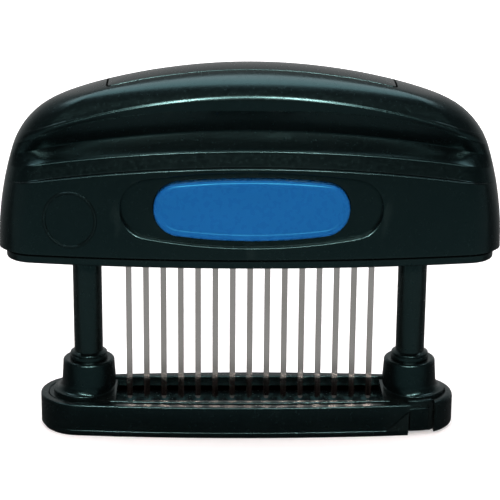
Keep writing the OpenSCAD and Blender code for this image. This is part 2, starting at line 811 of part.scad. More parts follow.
module base_latch() color(plastic) difference() {
    union() {
        difference() {
            rim_band(0, skirt_t, latch_x0, far, latch_z, latch_top);
            for (z = [[0, knuckle_z0], [knuckle_z1, far]])
                translate([0, 0, z[0]]) cube([latch_step_x, far, z[1] - z[0]]);
        }
        intersection() {
            translate([pin_x, pin_y, knuckle_z0]) linear_extrude(knuckle_z1 - knuckle_z0) union() {
                circle(r = knuckle_r);
                translate([0, -0.9]) square([latch_step_x - pin_x, 2]);
            }
            linear_extrude(far) base_plan(-0.6);
        }
    }
    translate([pin_x, pin_y, 0]) cylinder(r = pin_r + slip, h = far);
}

module lower_plate() color(plastic) difference() {
    union() {
        translate([0, 0, plate_t - 1.2]) linear_extrude(1.2) base_plan(0);
        linear_extrude(plate_t - 1.2) base_plan(plate_step);
        intersection() {
            translate([0, 0, plate_t]) linear_extrude(far) difference() {
                base_plan(0);
                base_plan(skirt_t);
            }
            below_joint(0);
        }
    }
    beyond(part_x1);
    knife_places() translate([-slot_w / 2, -slot_d / 2, -1]) cube([slot_w, slot_d, far]);
}

echo(post_spring_gap = coil_gap(coil_points(post_coil_r, post_wire / 2, post_turns,
    post_seat_z, channel_z - guide_head_t)) );
echo(button_spring_gap = coil_gap(coil_points(button_coil_r, button_wire / 2, button_turns,
    0, flange_back - rib_y1)));

guide_deck();
base_skirt();
skirt_screws();
left_post();
right_post();
left_collar();
right_collar();
post_screws();
post_clips();
left_post_spring();
right_post_spring();
latch_pin();
lower_plate();
base_latch();
handle_shell();
handle_floor();
floor_screws();
left_bush();
right_bush();
stop_washers();
spring_guides();
front_button();
rear_button();
front_button_springs();
rear_button_springs();
cartridge_cap();
front_carrier();
rear_carrier();
carrier_screws();
cap_screws();
knives();
front_snap_arm();
rear_snap_arm();
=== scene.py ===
"""Looks of a blade meat tenderizer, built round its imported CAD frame. Shapes are in millimetres."""
import json
from math import atan2, cos, degrees, hypot, pi, radians, sin, sqrt

import bmesh
import bpy
from mathutils import Matrix, Vector
from mathutils.bvhtree import BVHTree


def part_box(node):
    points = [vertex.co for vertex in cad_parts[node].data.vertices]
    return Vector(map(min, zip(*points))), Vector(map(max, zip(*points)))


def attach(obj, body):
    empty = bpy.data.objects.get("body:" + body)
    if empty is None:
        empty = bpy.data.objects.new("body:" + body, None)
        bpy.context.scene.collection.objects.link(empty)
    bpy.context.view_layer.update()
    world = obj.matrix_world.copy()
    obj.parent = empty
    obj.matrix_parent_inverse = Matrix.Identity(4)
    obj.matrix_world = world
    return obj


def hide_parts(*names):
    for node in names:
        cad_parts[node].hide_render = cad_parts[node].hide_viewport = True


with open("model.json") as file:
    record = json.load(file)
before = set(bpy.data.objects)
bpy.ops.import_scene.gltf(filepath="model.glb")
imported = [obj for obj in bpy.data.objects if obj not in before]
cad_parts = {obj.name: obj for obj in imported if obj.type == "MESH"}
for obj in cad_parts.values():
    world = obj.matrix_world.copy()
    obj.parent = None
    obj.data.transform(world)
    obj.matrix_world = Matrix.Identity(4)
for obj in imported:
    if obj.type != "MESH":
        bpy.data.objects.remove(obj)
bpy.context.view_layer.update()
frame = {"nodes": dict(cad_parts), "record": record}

MM = 0.001
scene = bpy.context.scene


# ---------------------------------------------------------------- sizes from the frame

def node_box(node):
    """Lowest and highest corners of a CAD node, in millimetres."""
    lo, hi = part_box(node)
    return lo / MM, hi / MM


shell_lo, shell_hi = node_box("handle_shell")
floor_z = node_box("handle_floor")[0].z
cap_lo, cap_hi = node_box("cartridge_cap")
knives_lo, knives_hi = node_box("knives")
post_lo, post_hi = node_box("right_post")
collar_lo, collar_hi = node_box("right_collar")
deck_z = node_box("guide_deck")[0].z
skirt_lo, skirt_hi = node_box("base_skirt")
plate_lo, plate_hi = node_box("lower_plate")
latch_lo, latch_hi = node_box("base_latch")
pin_lo, pin_hi = node_box("latch_pin")

# Handle
handle_x = shell_hi.x
apron_y = shell_hi.y
rim_z = shell_lo.z
crown_z = shell_hi.z
bow_r = 400
end_r = 10            # round of the apron's ends in plan
wall = 2.4
side_r = 100          # end outline seen from the front
shoulder_r = 24
crown_r = 172
crease_z = rim_z + 27.6
crease_fall = 7.3     # by this much the creases are lower at the ends
upper_crease_z = crease_z + 4.7
shelf_y = 13.55
groove_y = 9.4
groove_z = upper_crease_z + 4.85
groove_tip_z = 85.6
lip_y = 14
lip_z = groove_z + 6.95
lip_tip_z = 88.5
lip_r = 0.5
crown_y = 14.8
edge_r = 3.2          # round of the grip's edge
edge_z = lip_z + 3.1
edge_tip_z = 92
roof_z = crease_z - 1.6

# Well, cap and post channels
well_x = cap_hi.x + 0.3
well_y = cap_hi.y + 0.3
well_r = 1.8
cap_gap = 0.5
mouth_round = 0.16    # some other values of this and of well_r made the well's cut fail
channel_r = 5.4
channel_z = 100.8

# Floor of the handle
floor_inset = 0.8
floor_short = 1.4     # by this much its ends stay behind the shell's
floor_seam = 0.7
floor_edge = 0.5
floor_slot_w = 2.4
floor_slot_d = 1.7
post_play = 0.65
screw_head_r = 2.4
screw_head_t = 1.6
floor_screws = ((36, 9.2), (-36, 9.2), (36, -9.2), (-36, -9.2), (63, 0), (-63, 0))

# Button and pocket
button_mid = rim_z + 15
button_w = 57.2
button_h = 18.4
button_corner_r = 7.8
pocket_w = 76.5
pocket_h = 22.5
pocket_corner_r = 8.45
pocket_d = 1.7
oval_r = 190
button_proud = 0.8
button_round = 1.2
window_play = 0.25
mark_x = -53.1
mark_z = rim_z + 11.1
mark_rx = 7.55
mark_rz = 8.2
mark_line = 0.9

# Posts
post_x = (post_lo.x + post_hi.x) / 2
post_r = (post_hi.x - post_lo.x) / 2
collar_r = (collar_hi.x - collar_lo.x) / 2
boss_top = collar_lo.z

# Base
base_x = -skirt_lo.x
latch_short = base_x - latch_hi.x   # by this much the base is shorter at the latch end
base_y = skirt_hi.y
base_bow_r = 576
base_corner_r = 12.5
plate_t = 2.1
plate_step = 0.8
plate_step_z = plate_t - 1.2
skirt_t = 2.4
skirt_top = 10.2
rail_inset = skirt_t + 0.6
deck_inset = skirt_t + 0.14
deck_top = 10.1
deck_round = 0.2
rail_top = 10.7
trough_x = 40.7
trough_y = 10
rail_x = 42.2
trough_z = 6
rail_r = 0.45
recess_end = 57       # dark recess beside the rails and under the bosses' feet
recess_z = 7.6
boss_r = 8.2
boss_top_r = 7.8
boss_round = 0.9
foot_r = 9.3
foot_z = 11.5
foot_shift = 1.6      # outwards, towards the base's end
foot_round = 0.35
slot_w = 2.75
slot_d = 7
slot_lead = 1
knife_n = 15
knife_pitch = 5.23
knife_w = 1.75
knife_t = 1
part_x0 = 40.3
part_x1 = plate_hi.x
part_z1 = 7.65
end_z = 1.3
end_line_z = 8.6
end_top = skirt_hi.z
recess_x1 = 54.9
recess_d = 0.8
latch_x0 = 54.7
latch_gap = 0.25
latch_round = 0.9
latch_low = 0.4       # the latch reaches this far below its solid
latch_face_x = 55.9   # the latch's front edge, across a dark gap from the end block
pin_x = (pin_lo.x + pin_hi.x) / 2
pin_y = (pin_lo.y + pin_hi.y) / 2
pin_r = (pin_hi.x - pin_lo.x) / 2
knuckle_r = 1.7
pin_play = 0.05
knuckle_play = 0.3
knuckle_z0 = end_z + 2.3
knuckle_z1 = skirt_top - 1.8
latch_step_x = pin_x + 2.3
far = 100


# ---------------------------------------------------------------- outlines

def arc(cx, cy, r, a0, a1, n):
    """Points of an arc, angles in degrees, both ends included."""
    angles = [radians(a0 + (a1 - a0) * i / n) for i in range(n + 1)]
    return [(cx + r * cos(a), cy + r * sin(a)) for a in angles]


def mirrored(half):
    """Closed outline from its upper half, which runs from the right tip to the left tip."""
    return half + [(x, -y) for x, y in reversed(half[1:-1])]


def barrel(half_l, half_d, bow, r, s=0.0, n_end=10, n_long=48):
    """Outline with long edges of radius bow and corners of radius r, drawn in by s."""
    cx = half_l - r
    cy = max(0.0, half_d - bow + sqrt((bow - r) ** 2 - cx * cx))
    t = degrees(atan2(cy + bow - half_d, cx))
    upper = [(half_l - s, 0.0)] + arc(cx, cy, r - s, 0, t, n_end)
    upper += arc(0, half_d - bow, bow - s, t, 180 - t, n_long)[1:-1]
    upper += arc(-cx, cy, r - s, 180 - t, 180, n_end) + [(s - half_l, 0.0)]
    return mirrored(upper)


def base_plan(s=0.0):
    """The base's outline drawn in by s, shorter at the latch end."""
    outline = barrel(base_x, base_y, base_bow_r, base_corner_r, s)
    return [(x - latch_short if x > 1 else x, y) for x, y in outline]


def oval(w, h, r, s=0.0):
    """Outline with long edges that bow a little, drawn in by s."""
    return barrel(w / 2, h / 2, oval_r, r, s)


def rounded_box(half_x, half_y, r, n=6, n_long=40):
    """Rectangle with round corners, its long sides divided so that it can follow a curved top."""
    long_edge = [(half_x - r - 2 * (half_x - r) * i / n_long, half_y) for i in range(1, n_long)]
    upper = [(half_x, 0.0)] + arc(half_x - r, half_y - r, r, 0, 90, n) + long_edge
    upper += arc(r - half_x, half_y - r, r, 90, 180, n) + [(-half_x, 0.0)]
    return mirrored(upper)


# ---------------------------------------------------------------- meshes

def mesh_object(name, verts, faces):
    mesh = bpy.data.meshes.new(name)
    mesh.from_pydata([Vector(v) * MM for v in verts], [], faces)
    bm = bmesh.new()
    bm.from_mesh(mesh)
    bmesh.ops.remove_doubles(bm, verts=bm.verts, dist=0.002 * MM)
    bmesh.ops.recalc_face_normals(bm, faces=bm.faces)
    bm.to_mesh(mesh)
    bm.free()
    obj = bpy.data.objects.new(name, mesh)
    scene.collection.objects.link(obj)
    return obj


def ladder(start, n):
    """Faces across a ring whose point i mirrors its point n - i."""
    rungs = [(i, i + 1, n - i - 1, n - i) for i in range(1, n // 2 - 1)]
    tips = [(0, 1, n - 1), (n // 2 - 1, n // 2, n // 2 + 1)]
    return [tuple(start + i for i in face) for face in rungs + tips]


def bands(rings, closed=False):
    """Faces between neighbouring rings of equal length; closed joins the last ring to the first."""
    n = len(rings[0])
    faces = []
    for k in range(len(rings) if closed else len(rings) - 1):
        a, b = k * n, (k + 1) % len(rings) * n
        faces += [(a + i, a + (i + 1) % n, b + (i + 1) % n, b + i) for i in range(n)]
    return faces


def points(rings):
    return [p for ring in rings for p in ring]


def loft(name, rings, capped=True):
    """Skin over symmetrical rings with a ladder of faces at the first and, if capped, the last."""
    n = len(rings[0])
    caps = ladder(0, n) + (ladder((len(rings) - 1) * n, n) if capped else [])
    return mesh_object(name, points(rings), bands(rings) + caps)


def hoop(name, rings):
    """Skin over rings of which the last joins the first."""
    return mesh_object(name, points(rings), bands(rings, closed=True))


def fan_loft(name, rings):
    """Skin over rings of any outline, its caps as single faces."""
    n, total = len(rings[0]), len(rings) * len(rings[0])
    caps = [tuple(range(n)), tuple(range(total - n, total))]
    return mesh_object(name, points(rings), bands(rings) + caps)


def prism(name, outline, z0, z1):
    """Upright prism over an (x, y) outline."""
    return fan_loft(name, [[(x, y, z) for x, y in outline] for z in (z0, z1)])


def prism_y(name, outline, y0, y1):
    """Prism along Y over an (x, z) outline."""
    return fan_loft(name, [[(x, y, z) for x, z in outline] for y in (y0, y1)])


def block(name, x0, x1, y0, y1, z0, z1):
    return prism(name, [(x0, y0), (x1, y0), (x1, y1), (x0, y1)], z0, z1)


def circle(x, y, r, z, n):
    return [(x + r * cos(2 * pi * i / n), y + r * sin(2 * pi * i / n), z) for i in range(n)]


def lathe(name, profile, x, y, n=96):
    """Closed body of revolution about a vertical axis; the profile runs from axis to axis."""
    return loft(name, [circle(x, y, r, z, n) for r, z in profile])


def drum(name, r, z0, z1, x, y, n=32):
    return lathe(name, [(0, z0), (r, z0), (r, z1), (0, z1)], x, y, n)


def tube(name, profile, x, y, n=96):
    """Ring-shaped body of revolution over a closed profile that stays off the axis."""
    return hoop(name, [circle(x, y, r, z, n) for r, z in profile])


def baked(obj):
    """Applies obj's modifiers to its mesh."""
    view = bpy.context.evaluated_depsgraph_get()
    mesh = bpy.data.meshes.new_from_object(obj.evaluated_get(view))
    obj.modifiers.clear()
    obj.data = mesh
    return obj


def combine(obj, operation, *others):
    for other in others:
        step = obj.modifiers.new("step", "BOOLEAN")
        step.operation = operation
        step.solver = "EXACT"
        step.object = other
        baked(obj)
        bpy.data.objects.remove(other)
    return obj


def cut(obj, *others):
    return combine(obj, "DIFFERENCE", *others)


def joined(obj, *others):
    return combine(obj, "UNION", *others)


def common(obj, *others):
    return combine(obj, "INTERSECT", *others)


def gathered(obj, *others):
    """Adds other bodies to obj's mesh as they are."""
    bm = bmesh.new()
    for source in (obj, *others):
        bm.from_mesh(source.data)
    bm.to_mesh(obj.data)
    bm.free()
    for other in others:
        bpy.data.objects.remove(other)
    return obj


def rounded(obj, width, angle):
    """Rounds the edges of obj that turn by more than angle."""
    step = obj.modifiers.new("edges", "BEVEL")
    step.width = width * MM
    step.segments = 2
    step.limit_method = "ANGLE"
    step.angle_limit = radians(angle)
    step.miter_outer = "MITER_ARC"
    return baked(obj)


def finished(obj, body, slot, material, *nodes, angle=32):
    """Gives obj smooth shading, its finish and its body, and hides the CAD nodes it stands for."""
    obj.data.shade_smooth()
    obj.data.set_sharp_from_angle(angle=radians(angle))
    normals = obj.modifiers.new("normals", "WEIGHTED_NORMAL")
    normals.keep_sharp = True
    normals.weight = 60
    obj.data.materials.clear()
    obj.data.materials.append(material)
    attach(obj, body)
    if nodes:
        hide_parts(*nodes)
    return obj


# ---------------------------------------------------------------- materials

def node_tree(name):
    material = bpy.data.materials.new(name)
    material.use_nodes = True
    tree = material.node_tree
    tree.nodes.clear()
    return material, tree


def add(tree, kind, inputs=(), **settings):
    """Adds a node; inputs gives its sockets' values or the outputs that feed them."""
    node = tree.nodes.new(kind)
    for key, value in settings.items():
        setattr(node, key, value)
    for key, value in dict(inputs).items():
        if isinstance(value, bpy.types.NodeSocket):
            tree.links.new(value, node.inputs[key])
        else:
            node.inputs[key].default_value = value
    return node


def noise(tree, scale, detail, stretch=(1, 1, 1)):
    place = add(tree, "ShaderNodeTexCoord").outputs["Object"]
    mapped = add(tree, "ShaderNodeMapping", {"Vector": place, "Scale": stretch}).outputs["Vector"]
    wave = add(tree, "ShaderNodeTexNoise",
               {"Vector": mapped, "Scale": scale, "Detail": detail, "Roughness": 0.5})
    return wave.outputs["Fac"]


def between(tree, value, low, high, start=0.3, end=0.7):
    """Maps a texture's range from start to end onto low to high."""
    node = add(tree, "ShaderNodeMapRange", {"Value": value, "From Min": start, "From Max": end,
                                            "To Min": low, "To Max": high})
    return node.outputs["Result"]


def blend_colour(tree, share, low, high):
    """Mixes two colours, each written as three numbers or fed by a socket."""
    low, high = (c if isinstance(c, bpy.types.NodeSocket) else (*c, 1) for c in (low, high))
    mix = add(tree, "ShaderNodeMix", {"Factor": share, 6: low, 7: high}, data_type="RGBA")
    return mix.outputs[2]


def bump(tree, height, distance, strength):
    inputs = {"Height": height, "Distance": distance, "Strength": strength}
    return add(tree, "ShaderNodeBump", inputs).outputs["Normal"]


def edge_highlight(tree, most):
    """0 on flat surfaces, up to most on convex edges, where it marks a painted highlight."""
    edge = add(tree, "ShaderNodeNewGeometry").outputs["Pointiness"]
    return between(tree, edge, 0, most, 0.51, 0.6)


def output(tree, shader):
    add(tree, "ShaderNodeOutputMaterial", {"Surface": shader})


def principled(tree, base, rough, normal, **more):
    """Ends the tree with a shader; more holds further sockets, with _ for a space."""
    inputs = {"Base Color": base, "Roughness": rough, "Normal": normal}
    inputs.update((key.replace("_", " "), value) for key, value in more.items())
    output(tree, add(tree, "ShaderNodeBsdfPrincipled", inputs).outputs["BSDF"])


def black_plastic():
    """Satin black moulding with a green cast, a fine grain and convex edges painted a little paler as a
    painted highlight.
    """
    material, tree = node_tree("satin_black_plastic")
    cloud = between(tree, noise(tree, 60, 3), 0, 1)
    base = blend_colour(tree, cloud, (0.0008, 0.0014, 0.0016), (0.0015, 0.0024, 0.0026))
    # convex edges painted paler: a painted highlight along the edges
    highlit_edges = blend_colour(tree, edge_highlight(tree, 0.3), base, (0.011, 0.016, 0.015))
    principled(tree, highlit_edges, between(tree, noise(tree, 900, 3), 0.2, 0.28),
               bump(tree, noise(tree, 2300, 3), 0.000012, 0.6),
               Specular_IOR_Level=0.36, Specular_Tint=(0.38, 0.96, 1.0, 1))
    return material


def blue_plastic():
    """Semi-gloss blue moulding with faint flow marks."""
    material, tree = node_tree("semi_gloss_blue_plastic")
    flow = between(tree, noise(tree, 45, 3, (1, 1, 2.2)), 0, 1)
    base = blend_colour(tree, flow, (0.0065, 0.090, 0.295), (0.0075, 0.097, 0.315))
    principled(tree, base, between(tree, noise(tree, 500, 3), 0.24, 0.33),
               bump(tree, noise(tree, 1500, 2), 0.00001, 0.4),
               Specular_IOR_Level=0.35, Specular_Tint=(0.08, 0.75, 1.0, 1))
    return material


def ground_steel():
    """Stainless strip with lengthwise grinding marks and faint stains."""
    material, tree = node_tree("ground_stainless_steel")
    lines = noise(tree, 5200, 3, (1, 1, 0.012))
    stain = between(tree, noise(tree, 160, 4, (1, 1, 0.25)), 0, 1)
    base = blend_colour(tree, stain, (0.66, 0.64, 0.60), (0.76, 0.75, 0.73))
    principled(tree, base, between(tree, lines, 0.1, 0.22), bump(tree, lines, 0.00001, 0.5),
               Metallic=1.0, Anisotropic=0.4)
    return material


def plain_steel(name, tone, low, high):
    """Turned or drawn steel with a fine haze."""
    material, tree = node_tree(name)
    haze = between(tree, noise(tree, 900, 4), 0, 1)
    base = blend_colour(tree, haze, [c * 0.8 for c in tone], tone)
    principled(tree, base, between(tree, noise(tree, 2400, 2), low, high),
               bump(tree, noise(tree, 3000, 2), 0.00001, 0.4), Metallic=1.0)
    return material


def soft_part(name, low, high, rough_low, rough_high, grain):
    """Moulded acetal or rubber."""
    material, tree = node_tree(name)
    base = blend_colour(tree, between(tree, noise(tree, 300, 4), 0, 1), low, high)
    principled(tree, base, between(tree, noise(tree, 1200, 3), rough_low, rough_high),
               bump(tree, noise(tree, 2200, 3), grain, 0.5))
    return material


BLACK = black_plastic()
BLUE = blue_plastic()
KNIFE = ground_steel()
STEEL = plain_steel("zinc_plated_steel", (0.60, 0.60, 0.58), 0.25, 0.4)
WIRE = plain_steel("drawn_spring_wire", (0.45, 0.45, 0.46), 0.2, 0.34)
ACETAL = soft_part("natural_acetal", (0.70, 0.69, 0.63), (0.78, 0.77, 0.72), 0.35, 0.5, 0.00001)
RUBBER = soft_part("black_rubber", (0.010, 0.010, 0.010), (0.016, 0.016, 0.016), 0.6, 0.8, 0.00003)

CAD_FINISHES = {"body_plastic": BLACK, "button_blue": BLUE, "knife_steel": KNIFE, "steel": STEEL,
                "spring_steel": WIRE, "bush_plastic": ACETAL, "washer_rubber": RUBBER}


# ---------------------------------------------------------------- handle

def front_y(x):
    """Half depth of the apron at x."""
    return apron_y - bow_r + sqrt(bow_r ** 2 - x * x)


def arch(r, x):
    """Drop at x of an arch of radius r."""
    return r - sqrt(r * r - x * x)


def shoulder():
    """Centre of the shoulder arc and the angles at which it meets the side and the crown."""
    sx, sz, sr = handle_x - side_r, rim_z, side_r - shoulder_r
    tz, tr = crown_z - crown_r, crown_r - shoulder_r
    d = hypot(sx, sz - tz)
    ux, uz = -sx / d, (tz - sz) / d
    a = (sr * sr - tr * tr + d * d) / (2 * d)
    h = sqrt(sr * sr - a * a)
    cx, cz = sx + a * ux - h * uz, sz + a * uz + h * ux
    if cx < 0:
        cx, cz = sx + a * ux + h * uz, sz + a * uz - h * ux
    return cx, cz, atan2(cz - sz, cx - sx), atan2(cz - tz, cx)


SHOULDER = shoulder()


def crest(x):
    """Height of the handle's outline at x, over the crown and the shoulders."""
    cx, cz, _, crown_a = SHOULDER
    x = abs(x)
    if x <= crown_r * cos(crown_a):
        return crown_z - arch(crown_r, x)
    return cz + sqrt(max(0.0, shoulder_r ** 2 - (x - cx) ** 2))


def outline_x(z):
    """Half width of the handle's outline at height z."""
    cx, cz, side_a, crown_a = SHOULDER
    if z <= cz + shoulder_r * sin(side_a):
        return handle_x - side_r + sqrt(side_r ** 2 - (z - rim_z) ** 2)
    if z <= cz + shoulder_r * sin(crown_a):
        return cx + sqrt(shoulder_r ** 2 - (z - cz) ** 2)
    return sqrt(crown_r ** 2 - (z - crown_z + crown_r) ** 2)


def groove_share(x):
    """1 along the grip, fading towards the ends, where the groove runs out."""
    t = min(1.0, max(0.0, (abs(x) - 58) / 16))
    return 1 - 0.8 * t * t * (3 - 2 * t)


def level(y, z, tip_z, power=2.0, end=end_r, n_long=84, n_end=14):
    """Ring round the handle: y and z at its middle, tip_z where it meets the end outlines."""
    half_x = outline_x(tip_z)
    inset = apron_y - y
    reach = half_x - end
    xs = [reach * (0.25 * sin(pi / 2 * (1 - 2 * i / n_long)) + 0.75 * (1 - 2 * i / n_long))
          for i in range(n_long + 1)]
    upper = []
    for i in range(n_end):
        a = pi / 2 * i / n_end
        x = reach + end * cos(a)
        upper.append((x, (front_y(x) - inset * groove_share(x)) * sin(a)))
    upper += [(x, front_y(x) - inset * groove_share(x)) for x in xs]
    upper += [(-x, y) for x, y in reversed(upper[:n_end])]
    return [(x, y, z - (z - tip_z) * abs(x / half_x) ** power) for x, y in mirrored(upper)]


def tip_of(z):
    """Height at the ends of the ring whose middle is at z."""
    stops = ((crease_z, crease_z - crease_fall),
             (upper_crease_z, upper_crease_z - crease_fall + 0.2),
             (groove_z, groove_tip_z), (lip_z, lip_tip_z), (edge_z + 1.5, edge_tip_z))
    if z < crease_z:
        return z - crease_fall * ((z - rim_z) / (crease_z - rim_z)) ** 1.5
    for (z0, t0), (z1, t1) in zip(stops, stops[1:]):
        if z <= z1:
            return t0 + (t1 - t0) * (z - z0) / (z1 - z0)
    return stops[-1][1]


def body_levels():
    """(half depth, height at the middle) of the handle's section, from the rim to its edge."""
    for rise in (0, 0.4, 5, 10, 15, 20):
        yield apron_y, rim_z + rise
    yield apron_y, crease_z - 3
    yield apron_y, crease_z - 0.9
    # narrow ledge over the apron, then the upright band
    yield from arc(apron_y - 0.5, crease_z - 0.5, 0.5, 0, 66, 5)
    for inset, rise in ((1.3, 0.12), (1.45, 0.22), (1.52, 0.6), (1.7, 2.2)):
        yield apron_y - inset, crease_z + rise
    yield apron_y - 1.95, upper_crease_z - 0.9
    yield from arc(apron_y - 2.55, upper_crease_z - 0.45, 0.6, 8, 50, 5)
    # shelf and ceiling of the groove
    corners = ((shelf_y, upper_crease_z + 0.1), (groove_y, groove_z), (lip_y - 0.35, lip_z + 0.02))
    for start, end in zip(corners, corners[1:]):
        for t in (0.04, 0.35, 0.65, 0.96):
            yield tuple(a + (b - a) * t for a, b in zip(start, end))
    yield from arc(lip_y - 0.4, lip_z + 0.4, lip_r, -50, 0, 4)
    yield lip_y + 0.4, lip_z + 1.3
    yield crown_y - 0.08, lip_z + 2.3
    yield from arc(*CROWN[0], 8)


def crown_section():
    """Arcs of the crown's section, from its edge to its middle, as arc takes them."""
    top_r, top_a = 34, 80
    u = Vector((cos(radians(top_a)), sin(radians(top_a))))
    edge = Vector((crown_y - edge_r, edge_z))
    top = Vector((0, crown_z - top_r))
    q = top + top_r * u - edge
    side_arc_r = (q.length_squared - edge_r ** 2) / (2 * (q.dot(u) - edge_r))
    side = top + (top_r - side_arc_r) * u
    meet = degrees(atan2(edge.y - side.y, edge.x - side.x))
    return ((*edge, edge_r, 0, meet), (*side, side_arc_r, meet, top_a), (*top, top_r, top_a, 88.5))


CROWN = crown_section()


def crown_levels():
    """Rings of the crown; their ends climb the shoulder and the crown's outline."""
    (c_y, c_z, r, a0, a1), (t_y, t_z, t_r, t0, t1) = CROWN[1:]
    rows = arc(c_y, c_z, r, a0, a1, 14)[1:] + arc(t_y, t_z, t_r, t0, t1, 7)[1:]
    first = tip_of(crown_z)
    for k, (y, z) in enumerate(rows, 1):
        t = k / len(rows)
        tip_x = outline_x(first) * (1 - t ** 1.35) + 26 * t ** 1.35
        yield y, z, crest(tip_x), 2.0, end_r + 8 * t


def handle_form(name):
    rings = []
    for y, z in body_levels():
        power = 2 + 0.8 * max(0.0, 1 - abs(z - lip_z) / 4)
        rings.append(level(y, z, tip_of(z), power))
    rings += [level(*row) for row in crown_levels()]
    return loft(name, rings)


def height_over(obj):
    """Function that returns how high obj's top is at x and y, in millimetres."""
    tree = BVHTree.FromObject(obj, bpy.context.evaluated_depsgraph_get())
    start_z = crown_z + 20

    def height(x, y):
        point = tree.ray_cast(Vector((x, y, start_z)) * MM, Vector((0, 0, -1)))[0]
        return (point / MM).z
    return height


# Round edge of unit size, as (outset, depth)
LIP = ((1.3, -0.25), (0.75, 0.02), (0.4, 0.17), (0.18, 0.36), (0.06, 0.62), (0.0, 1.0))


def flared(edge, rise):
    """(outset, depth) of a cutter whose mouth, rounded by edge, opens rise above the surface."""
    return [(edge * 1.3, -rise)] + [(edge * s, edge * d) for s, d in LIP]


def front_cutter(name, outline, edge, depth, fillet=0.0):
    """Cutter for the apron's front face: its mouth flares by edge and its floor follows the bow."""
    profile = flared(edge, 2)
    profile += arc(-fillet, depth - fillet, fillet, 0, 90, 3) if fillet else [(0.0, depth)]
    rings = []
    for outset, d in profile:
        rings.append([(x, -front_y(x) + d, button_mid + z) for x, z in outline(-outset)])
    return loft(name, rings)


def same(obj):
    return obj


def turned(obj):
    """Mirrors a cutter or piece from the front to the rear."""
    obj.data.transform(Matrix.Scale(-1, 4, (0, 1, 0)))
    obj.data.flip_normals()
    return obj


def well_cutter(form):
    """Upright cutter with round corners whose mouth flares where it meets the crown."""
    height = height_over(form)
    rings = []
    for outset, d in flared(mouth_round, 3):
        outline = rounded_box(well_x + outset, well_y + outset, well_r + outset)
        rings.append([(x, y, height(x, y) - d) for x, y in outline])
    low = [(x, y, roof_z - 6) for x, y, _ in rings[-1]]
    return loft("well", rings + [low])


def handle_shell():
    shell = handle_form("handle_shell_moulding")
    roof = [(x - wall * x / handle_x, y - wall * y / apron_y, z)
            for x, y, z in level(apron_y, roof_z, roof_z - crease_fall)]
    foot = [(x, y, rim_z - 5) for x, y, z in roof]
    well = well_cutter(shell)
    channels = [drum("channel", channel_r, rim_z, channel_z, side * post_x, 0, 48)
                for side in (-1, 1)]
    cut(shell, loft("cavity", [foot, roof]), well, *channels)

    def pocket(s):
        return oval(pocket_w, pocket_h, pocket_corner_r, s)

    def window(s):
        return oval(button_w + 2 * window_play, button_h + 2 * window_play, button_corner_r, s)

    for turn in (same, turned):
        cut(shell, turn(front_cutter("pocket", pocket, 0.45, pocket_d, 0.12)))
        cut(shell, turn(front_cutter("window", window, 0.01, 6)))
    return finished(shell, "handle", "body_plastic", BLACK, "handle_shell", angle=27)


def ring_mark():
    """Plain raised ring on the apron."""
    half = mark_line / 2
    profile = [(half, 0.4), (half, -0.12), (0.34, -0.34), (0.14, -0.48)]
    profile += [(-outset, d) for outset, d in reversed(profile)]
    rings = []
    for outset, d in profile:
        ring = []
        for c, q in arc(0, 0, 1, 0, 360, 96)[:-1]:
            x = mark_x + (mark_rx + outset) * c
            ring.append((x, -front_y(x) + d, mark_z + (mark_rz + outset) * q))
        rings.append(ring)
    return finished(hoop("ring_mark", rings), "handle", "body_plastic", BLACK)


def cap_outline(inset):
    s = cap_gap + inset
    return rounded_box(well_x - s, well_y - s, well_r - s)


def cartridge_cap():
    """Bar that fills the well; its top follows the crown and closes on a line along its middle."""
    crown = handle_form("crown")
    height = height_over(crown)
    bpy.data.objects.remove(crown)
    line_x = well_x - well_y
    rings = [[(x, y, cap_lo.z) for x, y in cap_outline(0)]]
    edge = [(0, 0.3, 0), (0.02, 0.12, 0), (0.07, 0.03, 0), (0.15, 0, 0), (0.4, 0, 0)]
    for inset, depth, share in edge + [(0.4, 0, share) for share in (0.2, 0.45, 0.72, 1)]:
        ring = []
        for x, y in cap_outline(inset):
            x += (max(-line_x, min(line_x, x)) - x) * share
            y -= y * share
            ring.append((x, y, height(x, y) - depth))
        rings.append(ring)
    cap = loft("cartridge_cap_moulding", rings, capped=False)
    return finished(cap, "cartridge", "body_plastic", BLACK, "cartridge_cap")


def apron_ring(s, z):
    """Ring of the floor at height z: the apron's plan, drawn in by s."""
    return [(x, y, z) for x, y in barrel(handle_x - floor_short, apron_y, bow_r, end_r, s, 14, 84)]


def handle_floor():
    """Flange below the rim and the plug inside it, with slots, post holes and screw holes."""
    edge, chamfer, top_z = floor_edge, 0.15, rim_z - floor_seam
    rings = [apron_ring(floor_inset + edge - edge * c, floor_z + edge - edge * q)
             for c, q in arc(0, 0, 1, 90, 0, 4)]
    rings += [apron_ring(floor_inset, top_z - chamfer), apron_ring(floor_inset + chamfer, top_z),
              apron_ring(wall + 0.1, top_z), apron_ring(wall + 0.1, rim_z + 3)]
    floor = loft("handle_floor_moulding", rings)
    w, d, low, top = floor_slot_w / 2, floor_slot_d / 2, floor_z - 1, rim_z + 5
    holes = [block("slot", x - w, x + w, -d, d, low, top) for x in knife_xs()]
    r = post_r + post_play
    holes += [lathe("hole", [(0, low), (r + 0.5, low), (r, floor_z + 0.3), (r, top), (0, top)],
                    side * post_x, 0, 64) for side in (-1, 1)]
    holes += [drum("screw_hole", screw_head_r, low, floor_z + screw_head_t, x, y)
              for x, y in floor_screws]
    cut(floor, *holes)
    return finished(floor, "handle", "body_plastic", BLACK, "handle_floor")


